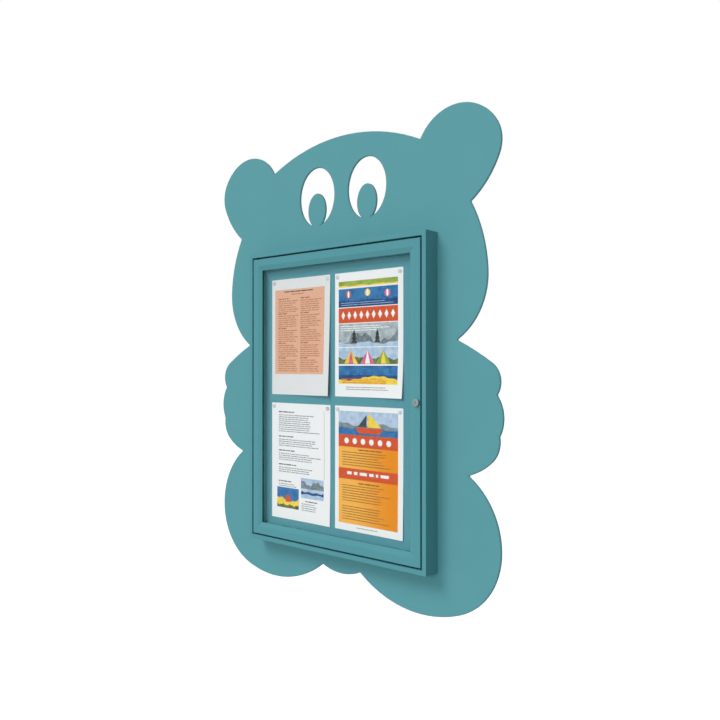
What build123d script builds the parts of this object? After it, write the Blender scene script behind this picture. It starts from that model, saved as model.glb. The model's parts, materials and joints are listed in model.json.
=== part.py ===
"""Wall-hung notice case with a hinged glazed door, on a bear-shaped backing panel."""
import os

from build123d import *

os.makedirs("parts", exist_ok=True)

# Driving dimensions in millimetres. X runs right, Y back into the wall, Z up.
# The origin lies on the wall plane, behind the middle of the case.

# Backing panel: thickness, softened front edge, router radius in the notches
# and the half outline from the head down.
PANEL_THICKNESS = 5.0
PANEL_CHAMFER = 1.5
NOTCH_RADIUS = 2.0
HEAD_TOP = 645.0
EAR_NOTCH = (242.0, 590.0)
EAR_CROWN = (315.0, 645.0)
EAR_SIDE = (441.0, 591.0)
EAR_FLANK = (446.0, 521.0)
CHEEK_NOTCH = (376.0, 431.0)
CHEEK_SIDE = (418.0, 283.0)
ARM_NOTCH = (340.0, 136.0)
ARM_SIDE = (427.0, 87.0)
UPPER_KNUCKLE_NOTCH = (440.0, 19.0)
LOWER_KNUCKLE_NOTCH = (446.0, -68.0)
PAW_SIDE = (427.0, -123.0)
LEG_NOTCH = (369.0, -155.0)
LEG_SIDE = (450.0, -306.0)
LEG_BOTTOM = (346.0, -457.0)
TAIL_NOTCH = (62.0, -415.0)
TAIL_BOTTOM = -428.0

NOTCHES = (
    EAR_NOTCH,
    CHEEK_NOTCH,
    ARM_NOTCH,
    UPPER_KNUCKLE_NOTCH,
    LOWER_KNUCKLE_NOTCH,
    LEG_NOTCH,
    TAIL_NOTCH,
)

# Directions, in degrees from +X, in which the lobes leave their notches.
EAR_HEADING = 61.0
CHEEK_HEADING = -61.0
ARM_HEADING = -25.0
KNUCKLE_HEADING = -54.0
PAW_HEADING = -80.0
LEG_HEADING = -34.0

# Eyes: tall ovals cut through the panel, each with a pupil left standing on its foot.
EYE_SPREAD = 166.0
EYE_HEIGHT = 506.0
EYE_HALF_WIDTH = 60.0
EYE_HALF_HEIGHT = 73.5
PUPIL_HALF_WIDTH = 31.0
PUPIL_HALF_HEIGHT = 43.0
PUPIL_SINK = 3.5

# Case: outer size and its hollow profile.
CASE_WIDTH = 580.0
CASE_HEIGHT = 750.0
CASE_DEPTH = 43.0
CASE_WALL = 1.8
CASE_EDGE_RADIUS = 0.8
LIP_WIDTH = 11.0
FLANGE_THICKNESS = 1.6
STOP_REACH = 11.0
BOARD_FLANGE_REACH = 23.0
REAR_FLANGE_REACH = 18.0

# Door: gap around it and its bevelled profile.
DOOR_GAP = 4.5
DOOR_THICKNESS = 12.0
DOOR_WALL = 1.8
DOOR_EDGE_RADIUS = 0.8
DOOR_FLAT = 18.0
DOOR_BOX = 20.0
BEVEL_WIDTH = 12.0
BEVEL_DEPTH = 4.0
NOSE_THICKNESS = 2.0

# Glazing: pane, gasket in front of it and snap-in beads behind it.
GLASS_THICKNESS = 3.0
GLASS_EDGE_GAP = 1.0
GASKET_THICKNESS = 1.0
GASKET_SETBACK = 1.0
BEAD_WIDTH = 8.0
BEAD_CHAMFER = 1.2
BEAD_TONGUE = 0.7
BEAD_TONGUE_THICKNESS = 0.8
BEAD_PLAY = 0.1
BLOCK_LENGTH = 60.0
BLOCK_SPREAD = 300.0

# Seal between the door's back and the stop flange on three sides.
SEAL_THICKNESS = 2.7
SEAL_GAP = 0.3
SEAL_WIDTH = 4.0
SEAL_OFFSET = 5.5
SEAL_RADIUS = 1.2
SEAL_HINGE_GAP = 1.0
SEAL_LOCK_GAP = 34.0

# Corner cleats inside the hollow profiles.
CLEAT_PLAY = 0.1
CASE_CLEAT_ARM = 46.0
DOOR_CLEAT_ARM = 44.0

# Pivot hinge: pins held in the case, bushes in the door.
PIVOT_INSET = 6.0
PIN_RADIUS = 2.5
PIN_RUNNING_CLEARANCE = 0.05
PIN_SEAT_CLEARANCE = 0.02
PIN_REACH = 14.0
PIN_ROOT = 6.5
COLLAR_RADIUS = 4.5
COLLAR_THICKNESS = 1.5
BUSH_WALL = 0.9
BUSH_LENGTH = 16.0
BUSH_FLANGE_RADIUS = 4.5
BUSH_FLANGE_THICKNESS = 1.2
THRUST_CLEARANCE = 0.1

# Cam lock in the middle of the right stile.
LOCK_HEIGHT = 0.0
LOCK_HEAD_RADIUS = 8.5
LOCK_HEAD_HEIGHT = 6.0
LOCK_HEAD_CHAMFER = 1.0
LOCK_BODY_RADIUS = 7.0
LOCK_HOLE_CLEARANCE = 0.1
LOCK_NUT_FLATS = 17.0
LOCK_NUT_THICKNESS = 2.5
LOCK_TAIL = 0.3
PLUG_RADIUS = 5.0
PLUG_RECESS = 0.3
KEYWAY_WIDTH = 1.4
KEYWAY_LENGTH = 6.4
KEYWAY_DEPTH = 3.0
CAM_THICKNESS = 2.0
CAM_BEHIND_STOP = 0.4
CAM_HUB_RADIUS = 5.5
CAM_TIP_RADIUS = 4.0
CAM_CLEARANCE = 0.5
CAM_SQUARE = 6.0
CAM_SQUARE_PLAY = 0.1
NOTCH_CLEARANCE = 1.5
CAM_SCREW_RADIUS = 1.5
CAM_SCREW_LENGTH = 8.0
CAM_SCREW_HEAD_RADIUS = 4.0
CAM_SCREW_HEAD = 1.3

# Display board, its screws and the space that the lock leaves in front of it.
BOARD_THICKNESS = 3.0
BOARD_EDGE_GAP = 0.5
BOARD_LOCK_ROOM = 0.7
BOARD_CORNER_RADIUS = 4.0
BOARD_SCREW_INSET = 5.5
BOARD_SCREW_END = 22.5
BOARD_SCREW_ROWS = 4
BOARD_SCREW_RADIUS = 2.0
BOARD_HEAD_RADIUS = 3.8
BOARD_HEAD_HEIGHT = 2.0
BOARD_NUT_FLATS = 7.0
BOARD_NUT_THICKNESS = 3.2

# Screws that hold the case to the panel, entered from the panel's back.
CASE_SCREW_RADIUS = 2.5
CASE_SCREW_HEAD_RADIUS = 5.0
CASE_SCREW_INSET = 9.0
CASE_SCREW_END = 125.0
CASE_SCREW_ROWS = 3
CASE_SCREW_RAIL_END = 140.0
CASE_NUT_FLATS = 8.0
CASE_NUT_THICKNESS = 4.0
SCREW_HOLE_CLEARANCE = 0.25
THREAD_CLEARANCE = 0.02
SCREW_TIP = 1.0

# Four holes for the wall screws, hidden behind the board.
WALL_HOLE_RADIUS = 4.5
WALL_HOLE_SPREAD = 400.0
WALL_HOLE_RISE = 560.0

# Notices: four sheets in two rows, held by small magnets at their upper corners.
SHEET_WIDTH = 210.0
SHEET_HEIGHT = 297.0
SHEET_THICKNESS = 0.2
SHEET_COLUMN_GAP = 16.0
SHEET_ROW_GAP = 22.0
SHEET_SHIFT = (-6.0, -5.0)
MAGNET_RADIUS = 5.0
MAGNET_HEIGHT = 3.0
MAGNET_INSET = 9.0
MAGNET_ROUNDING = 1.2

# Places worked out from the sizes above. Depths count back from the case's front.
FRONT = Plane.XZ
PUPIL_HEIGHT = EYE_HEIGHT - EYE_HALF_HEIGHT + PUPIL_HALF_HEIGHT - PUPIL_SINK
CASE_FRONT = -(PANEL_THICKNESS + CASE_DEPTH)
DOOR_WIDTH = CASE_WIDTH - 2 * (LIP_WIDTH + DOOR_GAP)
DOOR_HEIGHT = CASE_HEIGHT - 2 * (LIP_WIDTH + DOOR_GAP)
STOP_DEPTH = DOOR_THICKNESS + SEAL_GAP + SEAL_THICKNESS
CAM_DEPTH = STOP_DEPTH + FLANGE_THICKNESS + CAM_BEHIND_STOP
BOARD_DEPTH = CAM_DEPTH + CAM_THICKNESS + CAM_SCREW_HEAD + BOARD_LOCK_ROOM
BOARD_FLANGE_DEPTH = BOARD_DEPTH + BOARD_THICKNESS
REAR_FLANGE_DEPTH = CASE_DEPTH - FLANGE_THICKNESS
SIGHT_EDGE = DOOR_FLAT + BEVEL_WIDTH
REBATE_DEPTH = BEVEL_DEPTH + NOSE_THICKNESS
GLASS_DEPTH = REBATE_DEPTH + GASKET_THICKNESS
BEAD_DEPTH = GLASS_DEPTH + GLASS_THICKNESS
GLASS_INSET = DOOR_BOX + GLASS_EDGE_GAP
GLASS_WIDTH = DOOR_WIDTH - 2 * GLASS_INSET
GLASS_HEIGHT = DOOR_HEIGHT - 2 * GLASS_INSET
PIVOT_X = PIVOT_INSET - DOOR_WIDTH / 2
PIVOT_Y = CASE_FRONT + DOOR_THICKNESS / 2
SWING_RADIUS = Vector(PIVOT_INSET, DOOR_THICKNESS / 2).length
BUSH_RADIUS = PIN_RADIUS + PIN_RUNNING_CLEARANCE + BUSH_WALL
LOCK_X = DOOR_WIDTH / 2 - DOOR_FLAT / 2
CAM_REACH = DOOR_FLAT / 2 + DOOR_GAP - CAM_CLEARANCE
BOARD_WIDTH = CASE_WIDTH - 2 * (LIP_WIDTH + STOP_REACH + BOARD_EDGE_GAP)
BOARD_HEIGHT = CASE_HEIGHT - 2 * (LIP_WIDTH + STOP_REACH + BOARD_EDGE_GAP)


def save(piece, name):
    """Label a finished piece and write it to its own file."""
    piece.part.label = name
    export_step(piece.part, f"parts/{name}.step")


def at_depth(depth):
    """The front view's plane at a depth behind the case's front, facing forward."""
    return FRONT.offset(-(CASE_FRONT + depth))


def lobe(start, heading, *ends):
    """Draw a rounded lobe: arcs that follow each other without a corner."""
    direction = Vector(1, 0).rotate(Axis.Z, heading)
    for end in ends:
        arc = TangentArc(start, end, tangent=direction)
        start = end
        direction = arc % 1


def in_notch(corner):
    """Whether a corner of the outline, on either half, lies where two lobes meet."""
    spot = Vector(abs(corner.X), corner.Y)
    return any((spot - Vector(*notch)).length < NOTCH_RADIUS for notch in NOTCHES)


def side_planes(width, height):
    """Planes at the middle of a frame's outer edges: x inward, y backward, z along the bar."""
    return {
        "left": (Plane((-width / 2, CASE_FRONT, 0), x_dir=(1, 0, 0), z_dir=(0, 0, 1)), height),
        "right": (Plane((width / 2, CASE_FRONT, 0), x_dir=(-1, 0, 0), z_dir=(0, 0, -1)), height),
        "top": (Plane((0, CASE_FRONT, height / 2), x_dir=(0, 0, -1), z_dir=(1, 0, 0)), width),
        "bottom": (Plane((0, CASE_FRONT, -height / 2), x_dir=(0, 0, 1), z_dir=(-1, 0, 0)), width),
    }


def mitred_bar(section, place, length):
    """One bar of a frame: its section run along the edge and cut at 45 degrees at both ends."""
    with BuildPart() as bar:
        with BuildSketch(place):
            add(section)
        extrude(amount=length / 2, both=True)
        for end in (1, -1):
            corner = place.from_local_coords((0, 0, end * length / 2))
            slope = place.x_dir + place.z_dir * end
            split(bisect_by=Plane(corner, z_dir=slope), keep=Keep.BOTTOM)
    return bar.part


def drill(points, radius, depth, length):
    """Cut round holes straight back through the piece in hand, from a depth behind the front."""
    with Locations(*[(x, CASE_FRONT + depth + length / 2, z) for x, z in points]):
        Cylinder(radius, length, rotation=(90, 0, 0), mode=Mode.SUBTRACT)


def turned(profile):
    """A round piece: its half profile, given as radius and place along the axis, spun about Y."""
    with BuildPart() as piece:
        with BuildSketch():
            with BuildLine():
                Polyline(*profile, close=True)
            make_face()
        revolve(axis=Axis.Y)
    return piece.part


def hex_nut(flats, thickness, bore):
    """A hexagon nut lying on the plane of the front view, one pair of flats facing sideways."""
    with BuildPart() as nut:
        with BuildSketch(FRONT):
            RegularPolygon(flats / 2, 6, major_radius=False, rotation=30)
            Circle(bore, mode=Mode.SUBTRACT)
        extrude(amount=-thickness)
    return nut.part


def placed(piece, points, depth):
    """Add a copy of a piece at each point of the front view, at a depth behind the front."""
    with Locations(*[(x, CASE_FRONT + depth, z) for x, z in points]):
        add(piece)


def grid(spread, rise, rows=2):
    """Points of a front-view grid of two columns, with rows one rise apart."""
    heights = [rise * (row - (rows - 1) / 2) for row in range(rows)]
    return [(side * spread / 2, height) for side in (-1, 1) for height in heights]


WALL_HOLES = grid(WALL_HOLE_SPREAD, WALL_HOLE_RISE)
BOARD_SCREW_PITCH = (BOARD_HEIGHT - 2 * BOARD_SCREW_END) / (BOARD_SCREW_ROWS - 1)
BOARD_SCREWS = grid(BOARD_WIDTH - 2 * BOARD_SCREW_INSET, BOARD_SCREW_PITCH, BOARD_SCREW_ROWS)
CASE_SCREW_EDGE = LIP_WIDTH + CASE_SCREW_INSET
CASE_SCREW_PITCH = (CASE_HEIGHT - 2 * CASE_SCREW_END) / (CASE_SCREW_ROWS - 1)
CASE_SCREWS = grid(CASE_WIDTH - 2 * CASE_SCREW_EDGE, CASE_SCREW_PITCH, CASE_SCREW_ROWS)
CASE_SCREWS += grid(CASE_WIDTH - 2 * CASE_SCREW_RAIL_END, CASE_HEIGHT - 2 * CASE_SCREW_EDGE)

# Backing panel
with BuildPart() as backing_panel:
    with BuildSketch(FRONT) as figure:
        with BuildLine():
            TangentArc((0, HEAD_TOP), EAR_NOTCH, tangent=(1, 0))
            lobe(EAR_NOTCH, EAR_HEADING, EAR_CROWN, EAR_SIDE, EAR_FLANK, CHEEK_NOTCH)
            lobe(CHEEK_NOTCH, CHEEK_HEADING, CHEEK_SIDE, ARM_NOTCH)
            lobe(ARM_NOTCH, ARM_HEADING, ARM_SIDE, UPPER_KNUCKLE_NOTCH)
            lobe(UPPER_KNUCKLE_NOTCH, KNUCKLE_HEADING, LOWER_KNUCKLE_NOTCH)
            lobe(LOWER_KNUCKLE_NOTCH, PAW_HEADING, PAW_SIDE, LEG_NOTCH)
            lobe(LEG_NOTCH, LEG_HEADING, LEG_SIDE, LEG_BOTTOM, TAIL_NOTCH)
            TangentArc((0, TAIL_BOTTOM), TAIL_NOTCH, tangent=(1, 0))
            Line((0, HEAD_TOP), (0, TAIL_BOTTOM))
        make_face()
        mirror(about=Plane.YZ)
        fillet([corner for corner in figure.vertices() if in_notch(corner)], NOTCH_RADIUS)
        with Locations((-EYE_SPREAD / 2, EYE_HEIGHT), (EYE_SPREAD / 2, EYE_HEIGHT)):
            Ellipse(EYE_HALF_WIDTH, EYE_HALF_HEIGHT, mode=Mode.SUBTRACT)
        with Locations((-EYE_SPREAD / 2, PUPIL_HEIGHT), (EYE_SPREAD / 2, PUPIL_HEIGHT)):
            Ellipse(PUPIL_HALF_WIDTH, PUPIL_HALF_HEIGHT)
    extrude(amount=PANEL_THICKNESS)
    panel_face = backing_panel.faces().sort_by(Axis.Y)[0]
    chamfer(panel_face.edges(), PANEL_CHAMFER)
    drill(WALL_HOLES, WALL_HOLE_RADIUS, CASE_DEPTH, PANEL_THICKNESS)
    drill(CASE_SCREWS, CASE_SCREW_RADIUS + SCREW_HOLE_CLEARANCE, CASE_DEPTH, PANEL_THICKNESS)
    sink_depth = CASE_SCREW_HEAD_RADIUS - CASE_SCREW_RADIUS
    sink_radius = CASE_SCREW_HEAD_RADIUS + SCREW_HOLE_CLEARANCE
    with Locations(*[(x, -sink_depth / 2, z) for x, z in CASE_SCREWS]):
        Cone(sink_radius, sink_radius - sink_depth, sink_depth, rotation=(90, 0, 0), mode=Mode.SUBTRACT)
save(backing_panel, "backing_panel")

# Case profile, drawn inward and backward from its outer front edge
with BuildSketch() as case_section:
    with Locations((LIP_WIDTH / 2, CASE_DEPTH / 2)):
        Rectangle(LIP_WIDTH, CASE_DEPTH)
    fillet(case_section.vertices().group_by(Axis.Y)[0], CASE_EDGE_RADIUS)
    with Locations((LIP_WIDTH / 2, CASE_DEPTH / 2)):
        Rectangle(LIP_WIDTH - 2 * CASE_WALL, CASE_DEPTH - 2 * CASE_WALL, mode=Mode.SUBTRACT)
    for reach, depth in (
        (STOP_REACH, STOP_DEPTH),
        (BOARD_FLANGE_REACH, BOARD_FLANGE_DEPTH),
        (REAR_FLANGE_REACH, REAR_FLANGE_DEPTH),
    ):
        with Locations((LIP_WIDTH, depth)):
            Rectangle(reach, FLANGE_THICKNESS, align=(Align.MIN, Align.MIN))

# Case bars, with the holes for board screws, case screws and hinge pins
CASE_SIDES = side_planes(CASE_WIDTH, CASE_HEIGHT)
PIN_HOLE_HEIGHT = CASE_HEIGHT / 2 - LIP_WIDTH + CASE_WALL / 2
BAR_KINDS = {"left": "left_stile", "right": "right_stile", "top": "top_rail", "bottom": "bottom_rail"}
for side, kind in BAR_KINDS.items():
    with BuildPart() as case_bar:
        add(mitred_bar(case_section.sketch, *CASE_SIDES[side]))
        drill(BOARD_SCREWS, BOARD_SCREW_RADIUS + SCREW_HOLE_CLEARANCE, BOARD_FLANGE_DEPTH, FLANGE_THICKNESS)
        drill(CASE_SCREWS, CASE_SCREW_RADIUS + SCREW_HOLE_CLEARANCE, REAR_FLANGE_DEPTH, FLANGE_THICKNESS)
        with Locations((PIVOT_X, PIVOT_Y, PIN_HOLE_HEIGHT), (PIVOT_X, PIVOT_Y, -PIN_HOLE_HEIGHT)):
            Cylinder(PIN_RADIUS + PIN_SEAT_CLEARANCE, CASE_WALL, mode=Mode.SUBTRACT)
        if side == "right":
            # Keeper notch: lets the hanging cam out past the stop flange.
            stop_edge = CASE_WIDTH / 2 - LIP_WIDTH - STOP_REACH
            notch_foot = LOCK_HEIGHT - CAM_REACH - NOTCH_CLEARANCE
            notch_depth = LOCK_X + CAM_HUB_RADIUS + NOTCH_CLEARANCE - stop_edge
            notch_height = CAM_HUB_RADIUS + CAM_REACH + 2 * NOTCH_CLEARANCE
            with BuildSketch(at_depth(STOP_DEPTH)):
                with Locations((stop_edge, notch_foot)):
                    Rectangle(notch_depth, notch_height, align=(Align.MIN, Align.MIN))
            extrude(amount=-FLANGE_THICKNESS, mode=Mode.SUBTRACT)
    save(case_bar, f"case_{kind}")

# Corner cleats of the case and the door; those on the hinge side are bored for pins and bushes
CORNERS = {"upper_left": (-1, 1), "lower_left": (-1, -1), "upper_right": (1, 1), "lower_right": (1, -1)}
CASE_SIZE = (CASE_WIDTH, CASE_HEIGHT)
DOOR_SIZE = (DOOR_WIDTH, DOOR_HEIGHT)


def corner_cleat(size, wall, bar_width, depth, arm, hand):
    """An L-shaped block that fills the hollow of two bars where they meet."""
    width, height = size
    inset = wall + CLEAT_PLAY
    breadth = bar_width - 2 * inset
    side, level = hand
    outer = (side * (width / 2 - inset), level * (height / 2 - inset))
    inner = (outer[0] - side * arm, outer[1] - level * arm)
    elbow = (outer[0] - side * breadth, outer[1] - level * breadth)
    with BuildPart() as cleat:
        with BuildSketch(at_depth(inset)):
            with BuildLine():
                Polyline(
                    outer,
                    (inner[0], outer[1]),
                    (inner[0], elbow[1]),
                    elbow,
                    (elbow[0], inner[1]),
                    (outer[0], inner[1]),
                    close=True,
                )
            make_face()
        extrude(amount=-(depth - 2 * inset))
    return cleat.part


for corner, hand in CORNERS.items():
    pin_level = hand[1] * (CASE_HEIGHT / 2 - LIP_WIDTH / 2)
    bush_level = hand[1] * (DOOR_HEIGHT / 2 - BUSH_LENGTH / 2)
    with BuildPart() as case_cleat:
        add(corner_cleat(CASE_SIZE, CASE_WALL, LIP_WIDTH, CASE_DEPTH, CASE_CLEAT_ARM, hand))
        with Locations((PIVOT_X, PIVOT_Y, pin_level)):
            Cylinder(PIN_RADIUS + PIN_SEAT_CLEARANCE, LIP_WIDTH, mode=Mode.SUBTRACT)
    save(case_cleat, f"case_cleat_{corner}")
    with BuildPart() as door_cleat:
        add(corner_cleat(DOOR_SIZE, DOOR_WALL, DOOR_BOX, DOOR_THICKNESS, DOOR_CLEAT_ARM, hand))
        with Locations((PIVOT_X, PIVOT_Y, bush_level)):
            Cylinder(BUSH_RADIUS + PIN_SEAT_CLEARANCE, BUSH_LENGTH, mode=Mode.SUBTRACT)
    save(door_cleat, f"door_cleat_{corner}")

# Hinge pins: a root in the case cleat, a collar in the gap and a shank in the door's bush
PIN_SHOULDER = CASE_HEIGHT / 2 - LIP_WIDTH
for end, level in (("top", 1), ("bottom", -1)):
    with BuildPart() as hinge_pin:
        shank = COLLAR_THICKNESS + PIN_REACH
        with Locations((PIVOT_X, PIVOT_Y, level * (PIN_SHOULDER + (PIN_ROOT - shank) / 2))):
            Cylinder(PIN_RADIUS, PIN_ROOT + shank)
        with Locations((PIVOT_X, PIVOT_Y, level * (PIN_SHOULDER - COLLAR_THICKNESS / 2))):
            Cylinder(COLLAR_RADIUS, COLLAR_THICKNESS)
    save(hinge_pin, f"hinge_pin_{end}")
    with BuildPart() as hinge_bush:
        with Locations((PIVOT_X, PIVOT_Y, level * (DOOR_HEIGHT - BUSH_LENGTH) / 2)):
            Cylinder(BUSH_RADIUS, BUSH_LENGTH)
        with Locations((PIVOT_X, PIVOT_Y, level * (DOOR_HEIGHT + BUSH_FLANGE_THICKNESS) / 2)):
            Cylinder(BUSH_FLANGE_RADIUS, BUSH_FLANGE_THICKNESS)
        with Locations((PIVOT_X, PIVOT_Y, level * DOOR_HEIGHT / 2)):
            Cylinder(PIN_RADIUS + PIN_RUNNING_CLEARANCE, 2 * BUSH_LENGTH, mode=Mode.SUBTRACT)
    save(hinge_bush, f"hinge_bush_{end}")

# Thrust washer on the lower pin's collar, which carries the door
washer_room = DOOR_GAP - COLLAR_THICKNESS - BUSH_FLANGE_THICKNESS
with BuildPart() as thrust_washer:
    with BuildSketch(Plane.XY.offset(-PIN_SHOULDER + COLLAR_THICKNESS)):
        with Locations((PIVOT_X, PIVOT_Y)):
            Circle(COLLAR_RADIUS)
            Circle(PIN_RADIUS + PIN_RUNNING_CLEARANCE, mode=Mode.SUBTRACT)
    extrude(amount=washer_room - THRUST_CLEARANCE)
save(thrust_washer, "thrust_washer")

# Seal strips on the stop flange: top and bottom, clear of the door's turning corner, and beside the lock
SEAL_OUTER_X = CASE_WIDTH / 2 - LIP_WIDTH - SEAL_OFFSET
SEAL_OUTER_Z = CASE_HEIGHT / 2 - LIP_WIDTH - SEAL_OFFSET
SEAL_START_X = PIVOT_X + SWING_RADIUS + SEAL_HINGE_GAP


def seal_strip(low, high):
    """A rubber strip on the stop flange, over a rectangle of the front view."""
    with BuildPart() as strip:
        with BuildSketch(at_depth(STOP_DEPTH)):
            with Locations(((low[0] + high[0]) / 2, (low[1] + high[1]) / 2)):
                Rectangle(high[0] - low[0], high[1] - low[1])
        extrude(amount=SEAL_THICKNESS)
        fillet(strip.faces().sort_by(Axis.Y)[0].edges(), SEAL_RADIUS)
    return strip.part


for end, level in (("top", 1), ("bottom", -1)):
    with BuildPart() as door_seal:
        edges = sorted((level * SEAL_OUTER_Z, level * (SEAL_OUTER_Z - SEAL_WIDTH)))
        add(seal_strip((SEAL_START_X, edges[0]), (SEAL_OUTER_X, edges[1])))
    save(door_seal, f"door_seal_{end}")
with BuildPart() as door_seal:
    for level in (1, -1):
        ends = sorted((level * (SEAL_OUTER_Z - SEAL_WIDTH), LOCK_HEIGHT + level * SEAL_LOCK_GAP / 2))
        add(seal_strip((SEAL_OUTER_X - SEAL_WIDTH, ends[0]), (SEAL_OUTER_X, ends[1])))
save(door_seal, "door_seal_lock_side")

# Door profile: hollow box, bevel towards the glass and a groove for the bead
with BuildSketch() as door_section:
    with BuildLine():
        Polyline(
            (0, 0),
            (DOOR_FLAT, 0),
            (SIGHT_EDGE, BEVEL_DEPTH),
            (SIGHT_EDGE, REBATE_DEPTH),
            (DOOR_BOX, REBATE_DEPTH),
            (DOOR_BOX, DOOR_THICKNESS),
            (0, DOOR_THICKNESS),
            close=True,
        )
    make_face()
    fillet(door_section.vertices().group_by(Axis.X)[0], DOOR_EDGE_RADIUS)
    with Locations((DOOR_BOX / 2, DOOR_THICKNESS / 2)):
        Rectangle(DOOR_BOX - 2 * DOOR_WALL, DOOR_THICKNESS - 2 * DOOR_WALL, mode=Mode.SUBTRACT)
    tongue_depth = (BEAD_DEPTH + DOOR_THICKNESS) / 2
    with Locations((DOOR_BOX, tongue_depth)):
        groove = BEAD_TONGUE + BEAD_PLAY
        Rectangle(
            groove,
            BEAD_TONGUE_THICKNESS + 2 * BEAD_PLAY,
            align=(Align.MAX, Align.CENTER),
            mode=Mode.SUBTRACT,
        )

# Glazing bead profile, with its tongue
with BuildSketch() as bead_section:
    with BuildLine():
        Polyline(
            (DOOR_BOX, BEAD_DEPTH),
            (DOOR_BOX + BEAD_WIDTH, BEAD_DEPTH),
            (DOOR_BOX + BEAD_WIDTH, DOOR_THICKNESS - BEAD_CHAMFER),
            (DOOR_BOX + BEAD_WIDTH - BEAD_CHAMFER, DOOR_THICKNESS),
            (DOOR_BOX, DOOR_THICKNESS),
            close=True,
        )
    make_face()
    with Locations((DOOR_BOX, tongue_depth)):
        Rectangle(BEAD_TONGUE, BEAD_TONGUE_THICKNESS, align=(Align.MAX, Align.CENTER))

# Door bars and beads
DOOR_SIDES = side_planes(DOOR_WIDTH, DOOR_HEIGHT)
for side, kind in BAR_KINDS.items():
    with BuildPart() as door_bar:
        add(mitred_bar(door_section.sketch, *DOOR_SIDES[side]))
        drill([(LOCK_X, LOCK_HEIGHT)], LOCK_BODY_RADIUS + LOCK_HOLE_CLEARANCE, 0, DOOR_THICKNESS)
        for level in (1, -1):
            with Locations((PIVOT_X, PIVOT_Y, level * (DOOR_HEIGHT - BUSH_LENGTH) / 2)):
                Cylinder(BUSH_RADIUS + PIN_SEAT_CLEARANCE, BUSH_LENGTH, mode=Mode.SUBTRACT)
    save(door_bar, f"door_{kind}")
    with BuildPart() as bead:
        add(mitred_bar(bead_section.sketch, *DOOR_SIDES[side]))
    save(bead, f"glazing_bead_{side}")

# One-piece gasket between the bevel's nose and the pane
gasket_edge = SIGHT_EDGE - GASKET_SETBACK
with BuildPart() as glazing_gasket:
    with BuildSketch(at_depth(REBATE_DEPTH)):
        Rectangle(GLASS_WIDTH, GLASS_HEIGHT)
        Rectangle(DOOR_WIDTH - 2 * gasket_edge, DOOR_HEIGHT - 2 * gasket_edge, mode=Mode.SUBTRACT)
    extrude(amount=-GASKET_THICKNESS)
save(glazing_gasket, "glazing_gasket")

# Pane and the blocks that it stands on
with BuildPart() as glazing_pane:
    with BuildSketch(at_depth(GLASS_DEPTH)):
        Rectangle(GLASS_WIDTH, GLASS_HEIGHT)
    extrude(amount=-GLASS_THICKNESS)
save(glazing_pane, "glazing_pane")

with BuildPart() as setting_blocks:
    with BuildSketch(at_depth(GLASS_DEPTH)):
        with Locations((-BLOCK_SPREAD / 2, -GLASS_HEIGHT / 2), (BLOCK_SPREAD / 2, -GLASS_HEIGHT / 2)):
            Rectangle(BLOCK_LENGTH, GLASS_EDGE_GAP, align=(Align.CENTER, Align.MAX))
    extrude(amount=-GLASS_THICKNESS)
save(setting_blocks, "setting_blocks")

# Cam lock: body and nut fixed in the stile
LOCK_SPOT = [(LOCK_X, LOCK_HEIGHT)]
BODY_END = DOOR_THICKNESS + LOCK_NUT_THICKNESS + LOCK_TAIL
with BuildPart() as lock_body:
    bore = PLUG_RADIUS + PIN_RUNNING_CLEARANCE
    profile = (
        (bore, -LOCK_HEAD_HEIGHT),
        (LOCK_HEAD_RADIUS - LOCK_HEAD_CHAMFER, -LOCK_HEAD_HEIGHT),
        (LOCK_HEAD_RADIUS, LOCK_HEAD_CHAMFER - LOCK_HEAD_HEIGHT),
        (LOCK_HEAD_RADIUS, 0),
        (LOCK_BODY_RADIUS, 0),
        (LOCK_BODY_RADIUS, BODY_END),
        (bore, BODY_END),
    )
    placed(turned(profile), LOCK_SPOT, 0)
save(lock_body, "lock_body")

with BuildPart() as lock_nut:
    nut = hex_nut(LOCK_NUT_FLATS, LOCK_NUT_THICKNESS, LOCK_BODY_RADIUS + THREAD_CLEARANCE)
    placed(nut, LOCK_SPOT, DOOR_THICKNESS)
save(lock_nut, "lock_nut")

# Plug with its keyway, and a square end that drives the cam
PLUG_FRONT = PLUG_RECESS - LOCK_HEAD_HEIGHT
with BuildPart() as lock_plug:
    profile = ((0, PLUG_FRONT), (PLUG_RADIUS, PLUG_FRONT), (PLUG_RADIUS, CAM_DEPTH), (0, CAM_DEPTH))
    placed(turned(profile), LOCK_SPOT, 0)
    with BuildSketch(at_depth(CAM_DEPTH)):
        with Locations(*LOCK_SPOT):
            Rectangle(CAM_SQUARE, CAM_SQUARE)
    extrude(amount=-CAM_THICKNESS)
    with BuildSketch(at_depth(PLUG_FRONT)):
        with Locations(*LOCK_SPOT):
            Rectangle(KEYWAY_WIDTH, KEYWAY_LENGTH)
    extrude(amount=-KEYWAY_DEPTH, mode=Mode.SUBTRACT)
    screw_hole = CAM_DEPTH + CAM_THICKNESS - CAM_SCREW_LENGTH
    drill(LOCK_SPOT, CAM_SCREW_RADIUS + THREAD_CLEARANCE, screw_hole, CAM_SCREW_LENGTH)
save(lock_plug, "lock_plug")

# Cam, hanging clear of the stop flange until the plug is turned
with BuildPart() as lock_cam:
    with BuildSketch(at_depth(CAM_DEPTH)):
        with BuildLine():
            CenterArc((LOCK_X, LOCK_HEIGHT), CAM_HUB_RADIUS, 0, 360)
            CenterArc((LOCK_X, LOCK_HEIGHT - CAM_REACH + CAM_TIP_RADIUS), CAM_TIP_RADIUS, 0, 360)
        make_hull()
        with Locations(*LOCK_SPOT):
            socket = CAM_SQUARE + 2 * CAM_SQUARE_PLAY
            Rectangle(socket, socket, mode=Mode.SUBTRACT)
    extrude(amount=-CAM_THICKNESS)
save(lock_cam, "lock_cam")

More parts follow.
